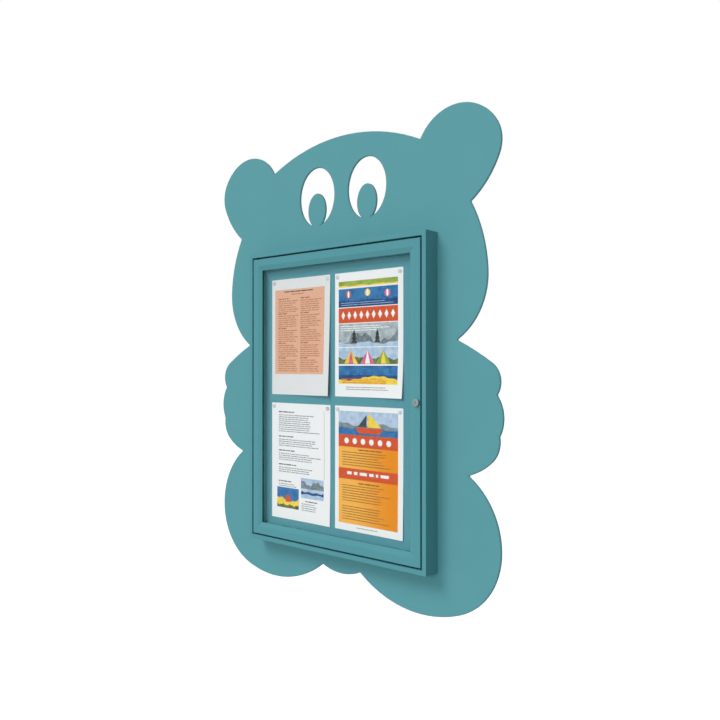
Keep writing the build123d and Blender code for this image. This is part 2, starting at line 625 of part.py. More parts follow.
with BuildPart() as cam_screw:
    profile = (
        (0, -CAM_SCREW_LENGTH),
        (CAM_SCREW_RADIUS, -CAM_SCREW_LENGTH),
        (CAM_SCREW_RADIUS, 0),
        (CAM_SCREW_HEAD_RADIUS, 0),
        (CAM_SCREW_HEAD_RADIUS, CAM_SCREW_HEAD),
        (0, CAM_SCREW_HEAD),
    )
    placed(turned(profile), LOCK_SPOT, CAM_DEPTH + CAM_THICKNESS)
save(cam_screw, "cam_screw")

# Display board, with its screws and nuts
with BuildPart() as display_board:
    with BuildSketch(at_depth(BOARD_DEPTH)):
        RectangleRounded(BOARD_WIDTH, BOARD_HEIGHT, BOARD_CORNER_RADIUS)
    extrude(amount=-BOARD_THICKNESS)
    drill(BOARD_SCREWS, BOARD_SCREW_RADIUS + SCREW_HOLE_CLEARANCE, BOARD_DEPTH, BOARD_THICKNESS)
save(display_board, "display_board")

with BuildPart() as board_screws:
    tip = BOARD_THICKNESS + FLANGE_THICKNESS + BOARD_NUT_THICKNESS + SCREW_TIP
    profile = (
        (0, -BOARD_HEAD_HEIGHT),
        (BOARD_HEAD_RADIUS, -BOARD_HEAD_HEIGHT),
        (BOARD_HEAD_RADIUS, 0),
        (BOARD_SCREW_RADIUS, 0),
        (BOARD_SCREW_RADIUS, tip),
        (0, tip),
    )
    placed(turned(profile), BOARD_SCREWS, BOARD_DEPTH)
save(board_screws, "board_screws")

with BuildPart() as board_nuts:
    nut = hex_nut(BOARD_NUT_FLATS, BOARD_NUT_THICKNESS, BOARD_SCREW_RADIUS + THREAD_CLEARANCE)
    placed(nut, BOARD_SCREWS, BOARD_FLANGE_DEPTH + FLANGE_THICKNESS)
save(board_nuts, "board_nuts")

# Countersunk case screws from the panel's back, and the nuts on the rear flange
with BuildPart() as case_screws:
    tip = PANEL_THICKNESS + FLANGE_THICKNESS + CASE_NUT_THICKNESS + SCREW_TIP
    profile = (
        (0, 0),
        (CASE_SCREW_HEAD_RADIUS, 0),
        (CASE_SCREW_RADIUS, -sink_depth),
        (CASE_SCREW_RADIUS, -tip),
        (0, -tip),
    )
    placed(turned(profile), CASE_SCREWS, CASE_DEPTH + PANEL_THICKNESS)
save(case_screws, "case_screws")

with BuildPart() as case_nuts:
    nut = hex_nut(CASE_NUT_FLATS, CASE_NUT_THICKNESS, CASE_SCREW_RADIUS + THREAD_CLEARANCE)
    placed(nut, CASE_SCREWS, REAR_FLANGE_DEPTH - CASE_NUT_THICKNESS)
save(case_nuts, "case_nuts")

# Notices on the board, and the magnets at their upper corners
SHEET_DEPTH = BOARD_DEPTH - SHEET_THICKNESS
COLUMN = (SHEET_WIDTH + SHEET_COLUMN_GAP) / 2
ROW = (SHEET_HEIGHT + SHEET_ROW_GAP) / 2
magnet_spots = []
for corner, (side, level) in CORNERS.items():
    centre = (SHEET_SHIFT[0] + side * COLUMN, SHEET_SHIFT[1] + level * ROW)
    with BuildPart() as notice:
        with BuildSketch(at_depth(SHEET_DEPTH)):
            with Locations(centre):
                Rectangle(SHEET_WIDTH, SHEET_HEIGHT)
        extrude(amount=-SHEET_THICKNESS)
    save(notice, f"notice_{corner}")
    for edge in (-1, 1):
        across = centre[0] + edge * (SHEET_WIDTH / 2 - MAGNET_INSET)
        magnet_spots.append((across, centre[1] + SHEET_HEIGHT / 2 - MAGNET_INSET))

with BuildPart() as notice_magnets:
    with BuildSketch(at_depth(SHEET_DEPTH)):
        with Locations(*magnet_spots):
            Circle(MAGNET_RADIUS)
    extrude(amount=MAGNET_HEIGHT)
    fillet(notice_magnets.edges().group_by(Axis.Y)[0], MAGNET_ROUNDING)
save(notice_magnets, "notice_magnets")
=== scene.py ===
"""Looks of the wall-hung notice case: coat, glass, printed notices, magnets, screws, camera, light."""
import json
import math

import bmesh
import bpy
from mathutils import Matrix, Vector


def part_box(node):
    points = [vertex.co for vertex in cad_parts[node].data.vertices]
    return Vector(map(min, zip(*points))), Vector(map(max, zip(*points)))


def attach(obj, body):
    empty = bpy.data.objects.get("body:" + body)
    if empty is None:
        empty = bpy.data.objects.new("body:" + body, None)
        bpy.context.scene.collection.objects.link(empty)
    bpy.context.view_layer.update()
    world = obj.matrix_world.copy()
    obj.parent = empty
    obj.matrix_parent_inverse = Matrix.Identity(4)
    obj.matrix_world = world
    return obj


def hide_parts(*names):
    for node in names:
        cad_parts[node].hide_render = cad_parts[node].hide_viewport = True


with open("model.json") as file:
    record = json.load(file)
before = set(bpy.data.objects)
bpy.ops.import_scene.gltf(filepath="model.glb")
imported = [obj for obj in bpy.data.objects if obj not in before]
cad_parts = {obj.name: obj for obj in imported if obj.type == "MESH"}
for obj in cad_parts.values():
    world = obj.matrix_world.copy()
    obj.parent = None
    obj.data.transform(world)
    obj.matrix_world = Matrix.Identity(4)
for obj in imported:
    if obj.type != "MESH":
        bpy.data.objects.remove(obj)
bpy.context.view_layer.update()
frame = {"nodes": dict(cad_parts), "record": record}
MM = 0.001

# Camera: where it stands, which way it looks in degrees, and its lens on a 36 mm sensor.
CAMERA_PLACE = (1.277, -1.384, 0.081)
CAMERA_AZIMUTH = 41.36
CAMERA_ELEVATION = -0.4
CAMERA_LENS = 38.34

# Studio: a key light from the upper left and a fill from the front, each with its spread in degrees,
# the even light of the surround, and the pale floor below the hung case.
KEY_FROM = (-0.32, -0.65, 0.69)
KEY_STRENGTH = 1.7
KEY_SPREAD = 28.0
FILL_FROM = (0.1, -0.97, 0.2)
FILL_STRENGTH = 0.95
FILL_SPREAD = 30.0
SURROUND = 0.3
WHITE = "#FFFFFF"
FLOOR_COLOUR = "#D8D8D8"
FLOOR_DROP = 1.4
FLOOR_HALF = 30.0
FLOOR_GLOW = 0.6

# Pattern sizes of the finishes.
COAT_CLOUD = 90 * MM
COAT_PEEL = 3 * MM
PAPER_FIBRE = 1.5 * MM
INK_MOTTLE = 4 * MM
PICTURE_MOTTLE = 11 * MM
METAL_GRAIN = 0.6 * MM

# Gloss and relief of the finishes. A pair runs from the smoothest or clearest spot to the other end.
COAT_IOR = 1.5
COAT_SPECULAR = 0.15
COAT_ROUGHNESS = (0.7, 0.8)
COAT_SWELL = 0.12
COAT_RELIEF = 0.15 * MM
GLASS_TINT = "#FDFEFE"
GLASS_GROWTH = 4.0
GLASS_MIRROR = (0.006, 0.5)
GLASS_ROUGHNESS = 0.03
MOULDING_SWELL = 0.2
MOULDING_RELIEF = 0.1 * MM
ACRYLIC_IOR = 1.49
ACRYLIC_ROUGHNESS = 0.1
ACRYLIC_BODY = (0.12, 0.42)
PAPER_ROUGHNESS = 0.55
PAPER_SPECULAR = 0.2
FIBRE_CONTRAST = (0.3, 0.7)
EVEN_LEAN = 0.5

# Sockets that share a name with others on their node: of a colour mix and of a random number.
MIX_SHARE, MIX_FROM, MIX_TO, MIXED = 0, 6, 7, 2
LEAST, MOST, DRAWN = 2, 3, 1

# Paper and print: the step between layers of ink, an ink's thickness, the strips that a curl is
# cut into, the sheet and its print's margins in millimetres, and the words of a line.
INK_STEP = 0.06 * MM
INK_SKIN = 0.03 * MM
CURL_STEPS = 14
SHEET_SIZE = (210.0, 297.0)
PRINT_LEFT = 12
PRINT_RIGHT = 195
LINE_WORDS = 24
WORD_SHARES = (0.35, 1.8)

# Angle strip round the board: its wall, foot, broken edge, and its play behind the closed door.
TRIM_WALL = 1.2 * MM
TRIM_FOOT = 5 * MM
TRIM_EDGE = 0.4 * MM
TRIM_PLAY = 0.6 * MM

# Magnets: the cap's profile as shares of its radius and height, and the core inside it, whose side
# and top end at shares of the cap's height.
CAP_RADIUS = 5 * MM
CAP_PROFILE = ((1.0, 0.0), (1.0, 0.45), (0.93, 0.72), (0.72, 0.92), (0.4, 1.0))
CORE_RADIUS = 2.6 * MM
CORE_TOP_RADIUS = 2.3 * MM
CORE_FOOT = 0.1 * MM
CORE_SIDE = 0.5
CORE_TOP = 0.56

# Screws: shank, tip and socket radii, a pan head's radii at shares of its height, and a countersunk
# head's radii at depths below its face.
SCREW_CHAMFER = 0.5 * MM
BOARD_SHANK = 2 * MM
BOARD_TIP = 1.6 * MM
BOARD_SOCKET = 1.25 * MM
BOARD_SOCKET_FLOOR = 0.35
PAN_HEAD = ((3.8 * MM, 0.0), (3.8 * MM, 0.55), (3.4 * MM, 0.85), (2.7 * MM, 1.0))
CASE_SHANK = 2.5 * MM
CASE_TIP = 2 * MM
CASE_SOCKET = 1.5 * MM
CASE_SOCKET_DEPTH = 1.6 * MM
SUNK_HEAD = ((4.7 * MM, 0.0), (5 * MM, 0.3 * MM), (2.5 * MM, 2.5 * MM))
FITTINGS_APART = 20 * MM
HALF_FLAT = math.pi / 6


def linear(colour):
    """The linear colour of an sRGB hex value."""
    parts = [int(colour[i:i + 2], 16) / 255 for i in (1, 3, 5)]
    return (*[p / 12.92 if p <= 0.04045 else ((p + 0.055) / 1.055) ** 2.4 for p in parts], 1.0)


def feed(made, inputs):
    """Set a node's inputs, or link them where another node's output is given."""
    for key, value in inputs.items():
        if isinstance(value, bpy.types.NodeSocket):
            made.id_data.links.new(value, made.inputs[key])
        else:
            made.inputs[key].default_value = value


def node(tree, kind, inputs=None, **settings):
    """Add a node to a tree with its settings and its inputs."""
    made = tree.nodes.new(kind)
    for key, value in settings.items():
        setattr(made, key, value)
    feed(made, inputs or {})
    return made


def finish_of(name, **plain):
    """A new material: its node tree, its shader with plain settings and its object coordinates."""
    made = bpy.data.materials.new(name)
    made.use_nodes = True
    tree = made.node_tree
    shader = tree.nodes["Principled BSDF"]
    feed(shader, {key.replace("_", " "): value for key, value in plain.items()})
    return made, tree, shader, node(tree, "ShaderNodeTexCoord").outputs["Object"]


# Finishes
def powder_coat(name, colour, deeper):
    """Powder coat, enamel or lacquer baked on metal: even and nearly matt, with a faint orange peel.

    The real peel is about a millimetre wide; it is drawn three times as coarse to show.
    """
    made, tree, shader, place = finish_of(name, IOR=COAT_IOR, Specular_IOR_Level=COAT_SPECULAR)
    cloud = node(tree, "ShaderNodeTexNoise", {"Vector": place, "Scale": 1 / COAT_CLOUD, "Detail": 3.0})
    tone = node(
        tree,
        "ShaderNodeMix",
        {MIX_SHARE: cloud.outputs["Fac"], MIX_FROM: linear(deeper), MIX_TO: linear(colour)},
        data_type="RGBA",
    )
    peel = node(tree, "ShaderNodeTexNoise", {"Vector": place, "Scale": 1 / COAT_PEEL, "Detail": 1.0})
    smoothest, roughest = COAT_ROUGHNESS
    gloss = node(
        tree,
        "ShaderNodeMapRange",
        {"Value": peel.outputs["Fac"], "To Min": smoothest, "To Max": roughest},
    )
    swell = node(
        tree,
        "ShaderNodeBump",
        {"Height": peel.outputs["Fac"], "Strength": COAT_SWELL, "Distance": COAT_RELIEF},
    )
    feed(
        shader,
        {"Base Color": tone.outputs[MIXED], "Roughness": gloss.outputs[0], "Normal": swell.outputs[0]},
    )
    return made


def float_glass():
    """Clear float glass: seen straight through, with a mirror that grows towards grazing views."""
    made, tree = finish_of("float_glass")[:2]
    tree.nodes.clear()
    lean = node(tree, "ShaderNodeLayerWeight", {"Blend": EVEN_LEAN})
    growth = node(
        tree, "ShaderNodeMath", {0: lean.outputs["Facing"], 1: GLASS_GROWTH}, operation="POWER"
    )
    face_on, grazing = GLASS_MIRROR
    share = node(
        tree,
        "ShaderNodeMapRange",
        {"Value": growth.outputs[0], "To Min": face_on, "To Max": grazing},
    )
    through = node(tree, "ShaderNodeBsdfTransparent", {"Color": linear(GLASS_TINT)})
    mirror = node(tree, "ShaderNodeBsdfAnisotropic", {"Roughness": GLASS_ROUGHNESS})
    pane = node(
        tree,
        "ShaderNodeMixShader",
        {0: share.outputs[0], 1: through.outputs[0], 2: mirror.outputs[0]},
    )
    node(tree, "ShaderNodeOutputMaterial", {"Surface": pane.outputs[0]})
    return made


def plated_metal(name, colour, deeper, smoothest, roughest):
    """Plated or drawn metal: a grey mirror broken by fine grain, with slightly uneven gloss."""
    made, tree, shader, place = finish_of(name, Metallic=1.0)
    grain = node(tree, "ShaderNodeTexNoise", {"Vector": place, "Scale": 1 / METAL_GRAIN, "Detail": 3.0})
    tone = node(
        tree,
        "ShaderNodeMix",
        {MIX_SHARE: grain.outputs["Fac"], MIX_FROM: linear(deeper), MIX_TO: linear(colour)},
        data_type="RGBA",
    )
    gloss = node(
        tree,
        "ShaderNodeMapRange",
        {"Value": grain.outputs["Fac"], "To Min": smoothest, "To Max": roughest},
    )
    feed(shader, {"Base Color": tone.outputs[MIXED], "Roughness": gloss.outputs[0]})
    return made


def soft_moulding(name, colour, deeper, roughness):
    """Extruded rubber or moulded nylon: matt, with a faintly uneven skin."""
    made, tree, shader, place = finish_of(name, Roughness=roughness)
    skin = node(tree, "ShaderNodeTexNoise", {"Vector": place, "Scale": 1 / COAT_PEEL, "Detail": 2.0})
    tone = node(
        tree,
        "ShaderNodeMix",
        {MIX_SHARE: skin.outputs["Fac"], MIX_FROM: linear(deeper), MIX_TO: linear(colour)},
        data_type="RGBA",
    )
    swell = node(
        tree,
        "ShaderNodeBump",
        {"Height": skin.outputs["Fac"], "Strength": MOULDING_SWELL, "Distance": MOULDING_RELIEF},
    )
    feed(shader, {"Base Color": tone.outputs[MIXED], "Normal": swell.outputs[0]})
    return made


def clear_acrylic(colour, deeper):
    """Injection-moulded clear acrylic: mostly seen through, pale where it is seen edgewise."""
    made, tree, shader, place = finish_of("clear_acrylic", Roughness=ACRYLIC_ROUGHNESS, IOR=ACRYLIC_IOR)
    haze = node(tree, "ShaderNodeTexNoise", {"Vector": place, "Scale": 1 / COAT_PEEL})
    lean = node(tree, "ShaderNodeLayerWeight", {"Blend": EVEN_LEAN})
    face_on, edgewise = ACRYLIC_BODY
    body = node(
        tree,
        "ShaderNodeMapRange",
        {"Value": lean.outputs["Facing"], "To Min": face_on, "To Max": edgewise},
    )
    tone = node(
        tree,
        "ShaderNodeMix",
        {MIX_SHARE: haze.outputs["Fac"], MIX_FROM: linear(deeper), MIX_TO: linear(colour)},
        data_type="RGBA",
    )
    feed(shader, {"Base Color": tone.outputs[MIXED], "Alpha": body.outputs[0]})
    return made


def on_paper(name, colour, deeper, mottle):
    """Printing paper, bare or inked: matt, with fibres that show as faint mottling.

    Fibres are a tenth of a millimetre wide; the mottling is drawn coarser so that it shows.
    """
    made, tree, shader, place = finish_of(
        name, Roughness=PAPER_ROUGHNESS, Specular_IOR_Level=PAPER_SPECULAR
    )
    fibre = node(tree, "ShaderNodeTexNoise", {"Vector": place, "Scale": 1 / mottle, "Detail": 4.0})
    darkest, palest = FIBRE_CONTRAST
    share = node(
        tree,
        "ShaderNodeMapRange",
        {"Value": fibre.outputs["Fac"], "From Min": darkest, "From Max": palest},
    )
    tone = node(
        tree,
        "ShaderNodeMix",
        {MIX_SHARE: share.outputs[0], MIX_FROM: linear(deeper), MIX_TO: linear(colour)},
        data_type="RGBA",
    )
    feed(shader, {"Base Color": tone.outputs[MIXED]})
    return made


def fading_ink(name, colour, deeper, start, end):
    """Ink printed on paper as a fade from one colour to another across a sheet: matt and even."""
    made, tree, shader, place = finish_of(
        name, Roughness=PAPER_ROUGHNESS, Specular_IOR_Level=PAPER_SPECULAR
    )
    across = node(tree, "ShaderNodeSeparateXYZ", {"Vector": place})
    share = node(
        tree,
        "ShaderNodeMapRange",
        {"Value": across.outputs["X"], "From Min": start, "From Max": end},
        interpolation_type="SMOOTHSTEP",
    )
    tone = node(
        tree,
        "ShaderNodeMix",
        {MIX_SHARE: share.outputs[0], MIX_FROM: linear(colour), MIX_TO: linear(deeper)},
        data_type="RGBA",
    )
    feed(shader, {"Base Color": tone.outputs[MIXED]})
    return made


COAT = powder_coat("powder_coat", "#5B9AA2", "#57959D")
FRAME_COAT = powder_coat("frame_powder_coat", "#55959D", "#509098")
ENAMEL = powder_coat("enamelled_steel", "#5798A3", "#53939E")
GLASS = float_glass()
NICKEL = plated_metal("satin_nickel", "#93A19F", "#7F8E8C", 0.3, 0.42)
ZINC = plated_metal("zinc_plate", "#C3C7C9", "#A9AEB2", 0.3, 0.5)
BLACK_STEEL = plated_metal("blackened_steel", "#34383A", "#26292B", 0.4, 0.55)
ALUMINIUM = plated_metal("mill_aluminium", "#CDD0D2", "#BCC0C3", 0.35, 0.5)
RUBBER = soft_moulding("extruded_rubber", "#35575B", "#2C4B4F", 0.7)
NYLON = soft_moulding("moulded_nylon", "#2A2C2D", "#1F2122", 0.5)
ACRYLIC = clear_acrylic("#E2E9E9", "#D3DDDD")
LACQUER = powder_coat("white_lacquer", "#DFE2E3", "#D3D7D8")
PAPER = on_paper("coated_paper", "#F3F3F4", "#EBEBEC", PAPER_FIBRE)
# Paper of the upper left sheet, painted greyer than the others as painted shade from the door frame above
# and left of it.
SHADE_GREYED_PAPER = on_paper("uncoated_paper", "#E4E4E5", "#DBDCDD", PAPER_FIBRE)

FINISHES = {
    "coated_panel": COAT,
    "coated_case": FRAME_COAT,
    "coated_door": FRAME_COAT,
    "coated_bead": FRAME_COAT,
    "coated_board": ENAMEL,
    "mill_aluminium": ALUMINIUM,
    "zinc_steel": ZINC,
    "blackened_steel": BLACK_STEEL,
    "lock_metal": NICKEL,
    "seal_rubber": RUBBER,
    "glazing": GLASS,
    "clear_plastic": ACRYLIC,
    "notice_paper": PAPER,
    "black_nylon": NYLON,
}
for row in frame["record"]["subparts"]:
    for holder in frame["nodes"][row["node"]].material_slots:
        holder.material = FINISHES[row["material_slot"]]

# Inks: plain ones for blocks and words, and those of pictures, which run between two colours.
PLAIN_INKS = {
    "salmon": ("#E3B194", "#DDA88A"),
    "terracotta": ("#C08364", "#B67A5C"),
    "rust": ("#AC684E", "#A26047"),
    "charcoal": ("#42454A", "#383B3E"),
    "grey": ("#868C8E", "#7A8082"),
    "poppy": ("#D8562A", "#CA4B20"),
    "snow": ("#F4F6F4", "#E8ECEA"),
    "brown": ("#84602E", "#785426"),
}
PICTURE_INKS = {
    "sky": ("#3A80B6", "#1D5C96"),
    "deep_blue": ("#1C548A", "#0E3A6A"),
    "pale_blue": ("#C3D3E4", "#98B4D2"),
    "leaf": ("#AAB84E", "#74902F"),
    "moss": ("#74804A", "#414E2C"),
    "straw": ("#F8DE58", "#E8BE28"),
    "slate": ("#8C989E", "#5C6A71"),
    "mist": ("#B8C2C6", "#909DA3"),
    "pink": ("#E57CA2", "#CC4F7D"),
}
INKS = {}
for palette, mottle in ((PLAIN_INKS, INK_MOTTLE), (PICTURE_INKS, PICTURE_MOTTLE)):
    for ink, (colour, deeper) in palette.items():
        INKS[ink] = on_paper(f"printed_{ink}", colour, deeper, mottle)
FLYER_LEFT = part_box("notice_lower_right")[0].x
AMBER_START = FLYER_LEFT + 40 * MM
AMBER_END = FLYER_LEFT + 190 * MM
INKS["amber"] = fading_ink("printed_amber", "#F3B24A", "#E88B02", AMBER_START, AMBER_END)


# Geometry trees
def new_tree(name, sockets):
    """An empty geometry tree with named inputs, and the outputs of its input node."""
    tree = bpy.data.node_groups.new(name, "GeometryNodeTree")
    for label, kind in sockets.items():
        tree.interface.new_socket(label, in_out="INPUT", socket_type=f"NodeSocket{kind}")
    tree.interface.new_socket("Geometry", in_out="OUTPUT", socket_type="NodeSocketGeometry")
    return tree, node(tree, "NodeGroupInput").outputs


def small_print_tree():
    """Lines of short bars that run on like words, with ragged ends, as small print looks from afar."""
    tree, given = new_tree(
        "small_print",
        {
            "Width": "Float", "Lines": "Int", "Pitch": "Float", "Bar": "Float",
            "Word": "Float", "Shortest": "Float", "Seed": "Int", "Ink": "Material",
        },
    )
    count = node(tree, "ShaderNodeMath", {0: given["Lines"], 1: LINE_WORDS}, operation="MULTIPLY")
    spots = node(tree, "GeometryNodePoints", {"Count": count.outputs[0]})
    number = node(tree, "GeometryNodeInputIndex").outputs[0]
    portion = node(tree, "ShaderNodeMath", {0: number, 1: LINE_WORDS}, operation="DIVIDE")
    line = node(tree, "ShaderNodeMath", {0: portion.outputs[0]}, operation="FLOOR").outputs[0]
    shortest_word, longest_word = WORD_SHARES
    ratio = node(
        tree,
        "FunctionNodeRandomValue",
        {LEAST: shortest_word, MOST: longest_word, "Seed": given["Seed"]},
        data_type="FLOAT",
    )
    word = node(
        tree, "ShaderNodeMath", {0: ratio.outputs[DRAWN], 1: given["Word"]}, operation="MULTIPLY"
    )
    length = word.outputs[0]
    step = node(tree, "ShaderNodeMath", {0: length, 1: given["Bar"]}, operation="ADD")
    run = node(tree, "GeometryNodeAccumulateField", {0: step.outputs[0], "Group ID": line})
    reach = node(tree, "ShaderNodeMath", {0: run.outputs["Trailing"], 1: length}, operation="ADD")
    share = node(
        tree,
        "FunctionNodeRandomValue",
        {LEAST: given["Shortest"], MOST: 1.0, "ID": line, "Seed": given["Seed"]},
        data_type="FLOAT",
    )
    line_end = node(
        tree, "ShaderNodeMath", {0: share.outputs[DRAWN], 1: given["Width"]}, operation="MULTIPLY"
    )
    kept = node(
        tree,
        "FunctionNodeCompare",
        {0: reach.outputs[0], 1: line_end.outputs[0]},
        operation="LESS_EQUAL",
    )
    middle = node(
        tree,
        "ShaderNodeMath",
        {0: length, 1: 0.5, 2: run.outputs["Trailing"]},
        operation="MULTIPLY_ADD",
    )
    drop = node(tree, "ShaderNodeMath", {0: line, 1: given["Pitch"]}, operation="MULTIPLY")
    down = node(tree, "ShaderNodeMath", {0: 0.0, 1: drop.outputs[0]}, operation="SUBTRACT")
    place = node(tree, "ShaderNodeCombineXYZ", {"X": middle.outputs[0], "Y": down.outputs[0]})
    set_down = node(
        tree, "GeometryNodeSetPosition", {"Geometry": spots.outputs[0], "Position": place.outputs[0]}
    )
    size = node(tree, "ShaderNodeCombineXYZ", {"X": length, "Y": given["Bar"], "Z": 1.0})
    bar = node(
        tree,
        "GeometryNodeMeshGrid",
        {"Size X": 1.0, "Size Y": 1.0, "Vertices X": 2, "Vertices Y": 2},
    )
    bars = node(
        tree,
        "GeometryNodeInstanceOnPoints",
        {
            "Points": set_down.outputs[0], "Selection": kept.outputs[0],
            "Instance": bar.outputs["Mesh"], "Scale": size.outputs[0],
        },
    )
    real = node(tree, "GeometryNodeRealizeInstances", {"Geometry": bars.outputs[0]})
    inked = node(
        tree, "GeometryNodeSetMaterial", {"Geometry": real.outputs[0], "Material": given["Ink"]}
    )
    node(tree, "NodeGroupOutput", {"Geometry": inked.outputs[0]})
    return tree


def set_out_tree():
    """Copies of one fitting at each of the points given."""
    tree, given = new_tree("set_out", {"Points": "Geometry", "Fitting": "Object", "Finish": "Material"})
    model = node(tree, "GeometryNodeObjectInfo", {"Object": given["Fitting"]})
    copies = node(
        tree,
        "GeometryNodeInstanceOnPoints",
        {"Points": given["Points"], "Instance": model.outputs["Geometry"]},
    )
    real = node(tree, "GeometryNodeRealizeInstances", {"Geometry": copies.outputs[0]})
    done = node(
        tree, "GeometryNodeSetMaterial", {"Geometry": real.outputs[0], "Material": given["Finish"]}
    )
    node(tree, "NodeGroupOutput", {"Geometry": done.outputs[0]})
    return tree


def grown(tree, inputs, points=()):
    """The plain mesh that a geometry tree makes from these inputs and points."""
    start = bpy.data.meshes.new(tree.name)
    start.from_pydata([tuple(p) for p in points], [], [])
    holder = bpy.data.objects.new(tree.name, start)
    bpy.context.scene.collection.objects.link(holder)
    growth = holder.modifiers.new(tree.name, "NODES")
    growth.node_group = tree
    for socket in tree.interface.items_tree:
        if socket.in_out == "INPUT" and socket.name in inputs:
            growth[socket.identifier] = inputs[socket.name]
    evaluated = holder.evaluated_get(bpy.context.evaluated_depsgraph_get())
    made = bpy.data.meshes.new_from_object(evaluated)
    bpy.data.objects.remove(holder)
    return made


SMALL_PRINT = small_print_tree()
SET_OUT = set_out_tree()


# Pieces
def new_piece(name, mesh, body):
    """Put a finished mesh in the scene as a piece that rides on a body."""
    piece = bpy.data.objects.new(name, mesh)
    bpy.context.scene.collection.objects.link(piece)
    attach(piece, body)
    return piece


def smooth(mesh, angle=30.0):
    """Shade a mesh smooth, with sharp edges kept above an angle."""
    mesh.shade_smooth()
    mesh.set_sharp_from_angle(angle=math.radians(angle))
    return mesh


def bridged(name, made, loops):
    """Join each loop of corners to the next, turn the faces outwards and make a plain mesh."""
    for low, high in zip(loops, loops[1:]):
        for i, corner in enumerate(low):
            j = (i + 1) % len(low)
            made.faces.new((corner, low[j], high[j], high[i]))
    bmesh.ops.recalc_face_normals(made, faces=made.faces[:])
    mesh = bpy.data.meshes.new(name)
    made.to_mesh(mesh)
    made.free()
    return smooth(mesh)


def shapes_of(node_name):
    """Front-view middles of the fittings in a node, which stand well apart from each other."""
    groups = []
    for vert in frame["nodes"][node_name].data.vertices:
        spot = Vector((vert.co.x, vert.co.z))
        group = next((g for g in groups if (g[0] - spot).length < FITTINGS_APART), None)
        if group is None:
            groups.append([spot, [vert.co]])
        else:
            group[1].append(vert.co)
    middles = []
    for _, corners in groups:
        across = [c.x for c in corners]
        up = [c.z for c in corners]
        middles.append(((min(across) + max(across)) / 2, (min(up) + max(up)) / 2))
    return middles


# Notices
class Notice:
    """One sheet on the board and its print, both curled along the same straight rulings.

    The curl runs up to the corner or edge that its turn, in degrees, points at. It starts at a reach
    from there and ends in a lift off the board. These and all print are in millimetres, and print is
    laid out from the sheet's lower left corner, in layers that lie one on another.
    """

    def __init__(self, corner, turn, reach, lift, paper=PAPER):
        self.corner = corner
        self.paper = paper
        self.low, self.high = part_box(f"notice_{corner}")
        self.turn = Vector((math.cos(math.radians(turn)), math.sin(math.radians(turn))))
        self.reach = reach * MM
        self.lift = lift * MM
        self.flat = bmesh.new()
        self.inks = []

    def ink_number(self, ink):
        """The place of an ink in this notice's list of inks."""
        if ink not in self.inks:
            self.inks.append(ink)
        return self.inks.index(ink)

    def shape(self, ink, outline, layer=1):
        """Print a flat shape from its outline."""
        corners = [self.flat.verts.new((x * MM, -layer * INK_STEP, z * MM)) for x, z in outline]
        self.flat.faces.new(corners).material_index = self.ink_number(ink)

    def block(self, ink, left, foot, right, top, layer=1):
        """Print a rectangle."""
        self.shape(ink, ((left, foot), (right, foot), (right, top), (left, top)), layer)

    def disc(self, ink, across, up, radius, layer=2, squash=1.0, sides=32):
        """Print a disc, or an oval where it is squashed."""
        turns = [2 * math.pi * i / sides for i in range(sides)]
        outline = [(across + radius * math.cos(t), up + squash * radius * math.sin(t)) for t in turns]
        self.shape(ink, outline, layer)

    def ridge(self, ink, left, foot, right, crest, waves, layer=2, steps=40):
        """Print land with a rolling skyline: waves are heights, counts and shifts of sines."""
        outline = [(left, foot), (right, foot)]
        for i in range(steps + 1):
            across = 1 - i / steps
            rise = sum(h * math.sin(2 * math.pi * (n * across + s)) for h, n, s in waves)
            outline.append((left + (right - left) * across, crest + rise))
        self.shape(ink, outline, layer)

    def words(
        self, ink, left, top, right, lines, pitch, seed, bar=1.9, word=7.0, shortest=0.6, layer=2
    ):
        """Print lines of small print downwards from a top line."""
        mesh = grown(
            SMALL_PRINT,
            {
                "Width": (right - left) * MM, "Lines": lines, "Pitch": pitch * MM, "Bar": bar * MM,
                "Word": word * MM, "Shortest": shortest, "Seed": seed, "Ink": INKS[ink],
            },
        )
        start = Vector((left * MM, -layer * INK_STEP, top * MM))
        mesh.transform(Matrix.Translation(start) @ Matrix.Rotation(math.pi / 2, 4, "X"))
        printed = len(self.flat.faces)
        self.flat.from_mesh(mesh)
        self.flat.faces.ensure_lookup_table()
        for face in self.flat.faces[printed:]:
            face.material_index = self.ink_number(ink)
        bpy.data.meshes.remove(mesh)

    def curled(self, flat, name, finishes, thickness):
        """Cut a flat mesh along the rulings, curl it and make it a piece with a thickness."""
        size = self.high - self.low
        tip = Vector((size.x if self.turn.x > 0 else 0, size.z if self.turn.y > 0 else 0))
        for step in range(CURL_STEPS):
            spot = tip - self.turn * self.reach * (1 - step / CURL_STEPS)
            bmesh.ops.bisect_plane(
                flat,
                geom=flat.verts[:] + flat.edges[:] + flat.faces[:],
                plane_co=(spot.x, 0, spot.y),
                plane_no=(self.turn.x, 0, self.turn.y),
            )
        for vert in flat.verts:
            away = (tip - Vector((vert.co.x, vert.co.z))).dot(self.turn)
            vert.co += self.low
            vert.co.y -= self.lift * max(0.0, 1 - away / self.reach) ** 2
        flat.normal_update()
        bmesh.ops.solidify(flat, geom=flat.faces[:], thickness=thickness)
        mesh = bpy.data.meshes.new(name)
        flat.to_mesh(mesh)
        flat.free()
        for finish in finishes:
            mesh.materials.append(finish)
        return new_piece(name, smooth(mesh), "case")

    def hang(self):
        """Make the sheet and its print, in the place of the plain sheet."""
        inks = [INKS[i] for i in self.inks]
        printed = self.curled(self.flat, f"print_{self.corner}", inks, INK_SKIN)
        sheet = bmesh.new()
        wide, high = SHEET_SIZE
        outline = ((0, 0), (wide, 0), (wide, high), (0, high))
        sheet.faces.new([sheet.verts.new((x * MM, 0, z * MM)) for x, z in outline])
        paper = self.curled(sheet, f"paper_{self.corner}", [self.paper], self.high.y - self.low.y)
        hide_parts(f"notice_{self.corner}")


